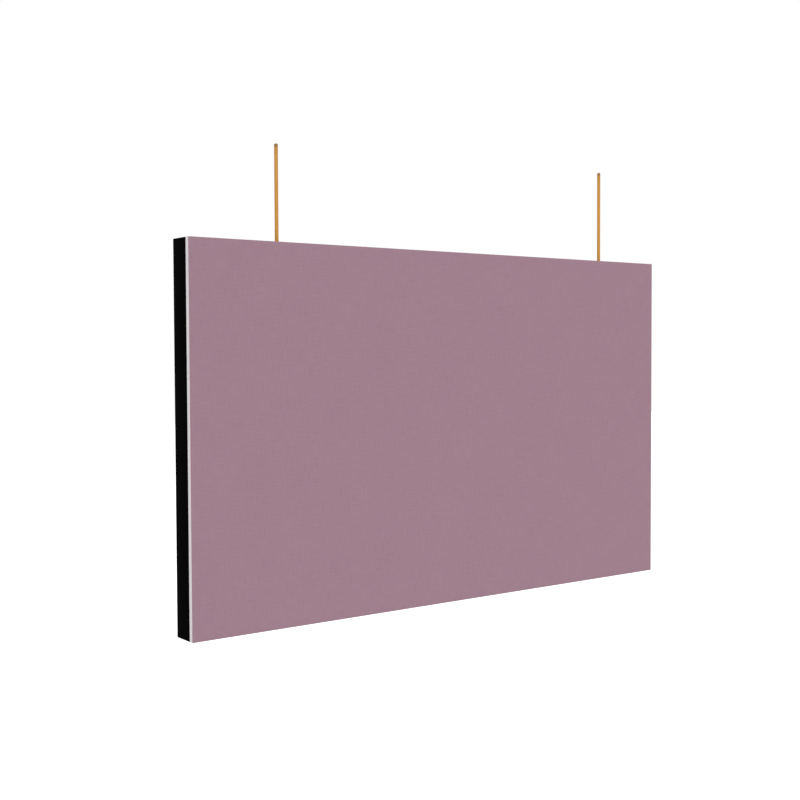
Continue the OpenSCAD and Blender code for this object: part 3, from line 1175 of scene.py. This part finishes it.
@dataclass
class Clips(Assembly):
    """Push-in clips: white studs in the front board, and grey sockets snapped into the frame."""

    ball_r: float = 2.5 * MM
    ball_in: float = 7.0 * MM
    ball_steps: int = 14
    stem_r: float = 1.8 * MM
    base_r: float = 9.0 * MM
    base_t: float = 2.4 * MM
    fillet: float = 0.6 * MM
    fillet_middle: float = 1 / 3  # where its middle point lies
    chamfer: float = 0.4 * MM
    socket_wall: float = 1.4 * MM
    collar_w: float = 1.6 * MM
    collar_t: float = 0.8 * MM
    snap: float = 0.5 * MM
    snap_len: float = 1.8 * MM
    end_t: float = 1.0 * MM
    frame_wall: float = 2.0 * MM
    gap: float = 0.05 * MM
    tip: float = 0.02 * MM  # the radius at which a turned form ends near its axis

    def stud(self) -> list[tuple[float, float]]:
        """Draws a stud from its base to the end of its ball, with height 0 at the frame's front.

        Returns:
            Radius and height of each point.
        """
        foot, top, wide = -self.base_t - self.gap, -self.gap, self.base_r - self.chamfer
        neck, bend = math.asin(self.stem_r / self.ball_r), self.fillet * self.fillet_middle
        angles = [neck + (math.pi - neck) * i / self.ball_steps for i in range(self.ball_steps)]
        return [
            (self.tip, foot), (wide, foot), (self.base_r, foot + self.chamfer),
            (self.base_r, top - self.chamfer), (wide, top), (self.stem_r + self.fillet, top),
            (self.stem_r + bend, bend), (self.stem_r, self.fillet),
            *((self.ball_r * math.sin(a), self.ball_in - self.ball_r * math.cos(a)) for a in angles),
            (self.tip, self.ball_in + self.ball_r),
        ]

    def socket(self) -> list[tuple[float, float]]:
        """Draws a socket's collar, neck, snap, closed end and cavity, with height 0 at the frame's front.

        Returns:
            Radius and height of each point.
        """
        bore, outer = self.ball_r + 2 * self.gap, self.ball_r + self.socket_wall
        collar, snap, soft = outer + self.collar_w, outer + self.snap, self.chamfer / 2
        start, end = self.frame_wall + self.gap, self.ball_in + self.ball_r + self.end_t
        inside = end - self.end_t + 2 * self.gap
        return [
            (bore + self.chamfer, 0), (collar - soft, 0), (collar, soft), (collar, self.collar_t),
            (outer, self.collar_t), (outer, start), (snap, start + self.snap),
            (snap, start + self.snap_len - self.snap), (outer, start + self.snap_len),
            (outer - self.snap, end), (self.tip, end), (self.tip, inside), (bore, inside),
            (bore, self.chamfer),
        ]

    def build(self) -> list[bpy.types.Object]:
        """Makes the studs on the facing and the sockets in the frame.

        Returns:
            The studs and the sockets, each as one piece.
        """
        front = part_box("frame_top")[0].y
        studs, sockets = Shape(), Shape()
        for solid in solids_of("clip_sockets"):
            studs.turn(self.stud(), clip_axis(solid, front), closed=False)
            sockets.turn(self.socket(), clip_axis(solid, front))
        white, grey = studs.piece("white_studs"), sockets.piece("grey_sockets")
        return [
            self.dress(white, STUD_PLASTIC, "facing", "stud_plastic", "clip_studs"),
            self.dress(grey, SOCKET_PLASTIC, "baffle", "socket_plastic", "clip_sockets"),
        ]


@dataclass
class Hanger(Assembly):
    """One hanger: slider, clamp screws, levelling nut, knurled wheel and threaded rod."""

    end: End
    rod_sides: int = 40
    rod_edge_deg: float = 40.0
    nut_sides: int = 64
    pitch: float = 1.0 * MM
    thread_r: float = 2.95 * MM
    root_r: float = 2.4 * MM
    thread_len: float = 12.5 * MM
    flank: tuple[float, float] = (1.35, -0.1)  # how steep the thread's flanks are and where they start
    steps_a_turn: int = 10
    run_out: float = 0.3 * MM
    rod_chamfer: float = 0.8 * MM
    # the tip's darker band: partly tarnish of the cut end, partly painted shade
    dark_tip: float = 5.0 * MM
    tip_fade: float = 0.35  # how much darker the rod is just below the tip; the darkening fades downwards
    tip_fade_len: float = 22 * MM
    nut_bore_r: float = 3.02 * MM
    barrel_r: float = 4.0 * MM
    flange_t: float = 2.4 * MM
    nut_chamfer: float = 0.3 * MM
    wheel_bore_r: float = 4.02 * MM
    wheel_chamfer: float = 0.35 * MM
    knurl_band: float = 0.6 * MM
    flutes: int = 36
    flute: float = 0.35 * MM
    flute_steps: int = 8

    def axis(self, node: str) -> Matrix:
        """Gives the upright axis through the middle of a CAD node."""
        low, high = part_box(node)
        return Matrix.Translation(((low.x + high.x) / 2, (low.y + high.y) / 2, 0))

    def thread(self, angle: float, z: float) -> float:
        """Gives the radius of the right-hand thread.

        Args:
            angle: the angle about the rod.
            z: the height.

        Returns:
            The radius, between the thread's root and its crest.
        """
        phase = abs(2 * ((z / self.pitch - angle / math.tau) % 1.0) - 1)
        steep, start = self.flank
        return self.root_r + (self.thread_r - self.root_r) * min(1.0, max(0.0, steep * phase + start))

    def rod(self) -> bpy.types.Object:
        """Makes the rod: a rolled thread at its foot, a satin shank and a darker tip, partly tarnish and
        partly painted shade, above a darkening that fades downwards.

        Returns:
            The rod.
        """
        node = f"rod_{self.end.value}"
        low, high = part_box(node)
        full, cone = (high.x - low.x) / 2, self.rod_chamfer
        shank, dark = low.z + self.thread_len + self.run_out, high.z - self.dark_tip
        count = round(self.thread_len / self.pitch * self.steps_a_turn)
        heights = [low.z + self.thread_len * i / count for i in range(count + 1)]
        profile = [(min(full, full - cone + z - low.z), z) for z in heights]
        profile += [(full, shank), (full, dark - self.tip_fade_len), (full, dark - self.run_out)]
        profile += [(full, dark), (full, high.z - cone), (full - cone, high.z)]

        def cut(r: float, angle: float, z: float) -> float:
            """Cuts the thread into the rod below its shank."""
            return min(r, self.thread(angle, z)) if z < shank - self.run_out / 2 else r

        def wear_and_shade(point: Vector) -> float:
            """Darkens the tip with tarnish and painted shade, and darkens the rod less and less below it.
            """
            tip_fade = self.tip_fade * (1 - (dark - point.z) / self.tip_fade_len)
            return 1.0 if point.z > dark - self.run_out / 2 else max(0.0, tip_fade)

        body = Shape()
        body.turn(profile, self.axis(node), self.rod_sides, False, cut)
        rod = body.piece(f"threaded_{node}", self.rod_edge_deg, [wear_and_shade(point) for point in body.points])
        return self.dress(rod, ROD_BRASS, node, "rod_brass", node)

    def nut(self) -> bpy.types.Object:
        """Makes the levelling nut: flange, barrel and a countersunk bore.

        Returns:
            The nut.
        """
        node = f"level_nut_{self.end.value}"
        low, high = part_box(node)
        flange, top, c = (high.x - low.x) / 2, low.z + self.flange_t, self.nut_chamfer
        bore, barrel = self.nut_bore_r, self.barrel_r
        profile = [
            (bore + c, low.z), (flange - c, low.z), (flange, low.z + c), (flange, top - c),
            (flange - c, top), (barrel, top), (barrel, high.z - c), (barrel - c, high.z),
            (bore + c, high.z), (bore, high.z - c), (bore, low.z + c),
        ]
        body = Shape()
        body.turn(profile, self.axis(node), self.nut_sides)
        nut = body.piece(f"turned_{node}")
        return self.dress(nut, NUT_BRASS, f"leveller_{self.end.value}", "nut_brass", node)

    def wheel(self) -> bpy.types.Object:
        """Makes the knurled wheel, chamfered at both rims.

        Returns:
            The wheel.
        """
        node = f"thumb_wheel_{self.end.value}"
        low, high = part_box(node)
        full, bore, c = (high.x - low.x) / 2, self.wheel_bore_r, self.wheel_chamfer
        profile = [
            (bore, low.z), (full - c, low.z), (full, low.z + c), (full, high.z - c),
            (full - c, high.z), (bore + c / 2, high.z), (bore, high.z - c / 2),
        ]

        def knurl(r: float, angle: float, z: float) -> float:
            """Cuts straight flutes into the rim."""
            deep = self.flute * max(0.0, math.cos(angle * self.flutes)) ** 2
            return min(r, full - deep) if r > full - self.knurl_band else r

        body = Shape()
        body.turn(profile, self.axis(node), self.flutes * self.flute_steps, True, knurl)
        wheel = body.piece(f"knurled_{node}")
        return self.dress(wheel, NUT_BRASS, f"leveller_{self.end.value}", "nut_brass", node)

    def build(self) -> list[bpy.types.Object]:
        """Makes the turned pieces, and finishes the slider and its screws."""
        kept = [self.paint(f"{node}_{self.end.value}", ZINC) for node in ("slider", "clamp_screws")]
        return [self.rod(), self.nut(), self.wheel(), *kept]


# Camera and studio


@dataclass
class PhotoCamera(Assembly):
    """The camera where the photograph was taken from, fitted to the baffle's corners."""

    place: Point = (-1.3510, -1.6481, -0.3239)
    azimuth_deg: float = -36.807
    elevation_deg: float = 2.137
    roll_deg: float = -0.235
    lens_mm: float = 55.08
    sensor_mm: float = 36.0

    def build(self) -> list[bpy.types.Object]:
        """Makes the camera and gives it to the scene.

        Returns:
            The camera.
        """
        a, e, r = (math.radians(angle) for angle in (self.azimuth_deg, self.elevation_deg, self.roll_deg))
        back = Vector((math.sin(a) * math.cos(e), -math.cos(a) * math.cos(e), math.sin(e)))
        right = UP.cross(back).normalized()
        up = back.cross(right)
        axes = [right * math.cos(r) + up * math.sin(r), up * math.cos(r) - right * math.sin(r), back]
        data = bpy.data.cameras.new("photo_camera")
        data.sensor_width = self.sensor_mm
        data.lens = self.lens_mm
        camera = put("photo_camera", data)
        camera.matrix_world = Matrix.Translation(self.place) @ Matrix(axes).transposed().to_4x4()
        bpy.context.scene.camera = camera
        return [camera]


@dataclass(frozen=True)
class Softbox:
    """A distant soft lamp: where its light comes from, its strength and how wide it looks."""

    name: str
    comes_from: Point
    strength: float
    width_deg: float

    def build(self) -> bpy.types.Object:
        """Makes the lamp.

        Returns:
            The lamp.
        """
        data = bpy.data.lights.new(self.name, "SUN")
        data.energy = self.strength
        data.angle = math.radians(self.width_deg)
        lamp = put(self.name, data)
        lamp.rotation_euler = Vector(self.comes_from).to_track_quat("Z", "Y").to_euler()
        return lamp


@dataclass
class Studio(Assembly):
    """A white studio: soft lamps, even light all round and a pale floor well below the hanging baffle."""

    floor_z: float = -2.3
    floor_size: float = 60.0
    floor_paint: str = "#e6e6e6"
    floor_lift: float = 0.55
    ambient: float = 0.55
    lamps: tuple[Softbox, ...] = (
        Softbox("key_softbox", (-0.50, -0.74, 0.45), 1.25, 100.0),
        Softbox("fill_softbox", (0.62, -0.66, 0.42), 0.5, 110.0),
        Softbox("rear_softbox", (0.30, 0.80, 0.52), 1.15, 100.0),
    )

    def seen(self, tree: bpy.types.NodeTree) -> bpy.types.Node:
        """Tells the rays that see the background from those that light the object.

        Args:
            tree: the node tree.

        Returns:
            A node that gives 1 to rays from the camera, from gloss and through glass, and 0 to others.
        """
        path = add(tree, "LightPath").outputs
        direct = add(tree, "Math", (path["Is Camera Ray"], path["Is Glossy Ray"]), operation="MAXIMUM")
        return add(tree, "Math", (direct, path["Is Transmission Ray"]), operation="MAXIMUM")

    def surroundings(self) -> None:
        """Makes the world: white where it is seen, and an even light on everything."""
        world = bpy.data.worlds.new("white_studio")
        bpy.context.scene.world = world
        tree = empty_tree(world)
        strength = add(tree, "MapRange", (self.seen(tree), 0.0, 1.0, self.ambient, 1.0))
        add(tree, "OutputWorld", {"Surface": add(tree, "Background", (WHITE, strength))})

    def floor(self) -> bpy.types.Object:
        """Makes the floor, which keeps the baffle's shadow and otherwise looks white.

        Returns:
            The floor.
        """
        half, body = self.floor_size / 2, Shape()
        corners = ((-half, -half), (half, -half), (half, half), (-half, half))
        body.join([(x, y, self.floor_z) for x, y in corners], [(0, 1, 2, 3)])
        floor = body.piece("studio_floor")
        material = bpy.data.materials.new("painted_studio_floor")
        tree = empty_tree(material)
        coat = add(tree, "BsdfDiffuse", (linear(self.floor_paint),))
        lift = add(tree, "Math", (self.seen(tree), self.floor_lift), operation="MULTIPLY")
        both = add(tree, "AddShader", (coat, add(tree, "Emission", (WHITE, lift))))
        add(tree, "OutputMaterial", {"Surface": both})
        floor.data.materials.append(material)
        return floor

    def build(self) -> list[bpy.types.Object]:
        """Makes the surroundings, the floor and the lamps.

        Returns:
            The floor and the lamps.
        """
        bpy.context.scene.view_settings.view_transform = "Standard"
        self.surroundings()
        return [self.floor(), *(lamp.build() for lamp in self.lamps)]


def main() -> None:
    """Builds the camera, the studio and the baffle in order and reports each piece."""
    logging.basicConfig(level=logging.INFO, format="%(name)s: %(message)s")
    fleece = ("baffle", "black_fleece", FLEECE, "wool_slab")
    waves = (30.0, 0.2)
    assemblies = [
        PhotoCamera(),
        Studio(),
        BlackFrame(),
        CornerJoints(),
        Board(
            "wool_slab", "core_slab", "baffle", "mineral_wool", WOOL,
            pockets_for="clip_sockets", pocket_gap=2 * MM, edge_step=6 * MM, layers=3,
        ),
        FlatSheet(
            "front_fleece_sheet", "front_fleece", *fleece, Face.FRONT,
            wave_mm=waves, holes_for="clip_sockets",
        ),
        FlatSheet("rear_fleece_sheet", "rear_fleece", *fleece, Face.REAR, wave_mm=waves),
        Board("rear_felt", "rear_board", "baffle", "felt_board", FELT),
        FlatSheet("rear_cloth", "rear_textile", "baffle", "mauve_textile", CLOTH, "rear_felt", Face.REAR),
        Board(
            "front_felt", "facing_board", "facing", "felt_board", FELT,
            pockets_for="clip_studs", pocket_face=Face.REAR, pocket_r=9.1 * MM, loose_fibres=1400,
        ),
        FlatSheet(
            "front_cloth", "facing_textile", "facing", "mauve_textile", CLOTH, "front_felt", Face.FRONT,
        ),
        Clips(),
        Hanger(End.LEFT),
        Hanger(End.RIGHT),
    ]
    for assembly in assemblies:
        for piece in assembly.build():
            faces = len(piece.data.polygons) if piece.type == "MESH" else 0
            log.info("%s: %s, %d faces", type(assembly).__name__, piece.name, faces)


if __name__ == "__main__":
    main()
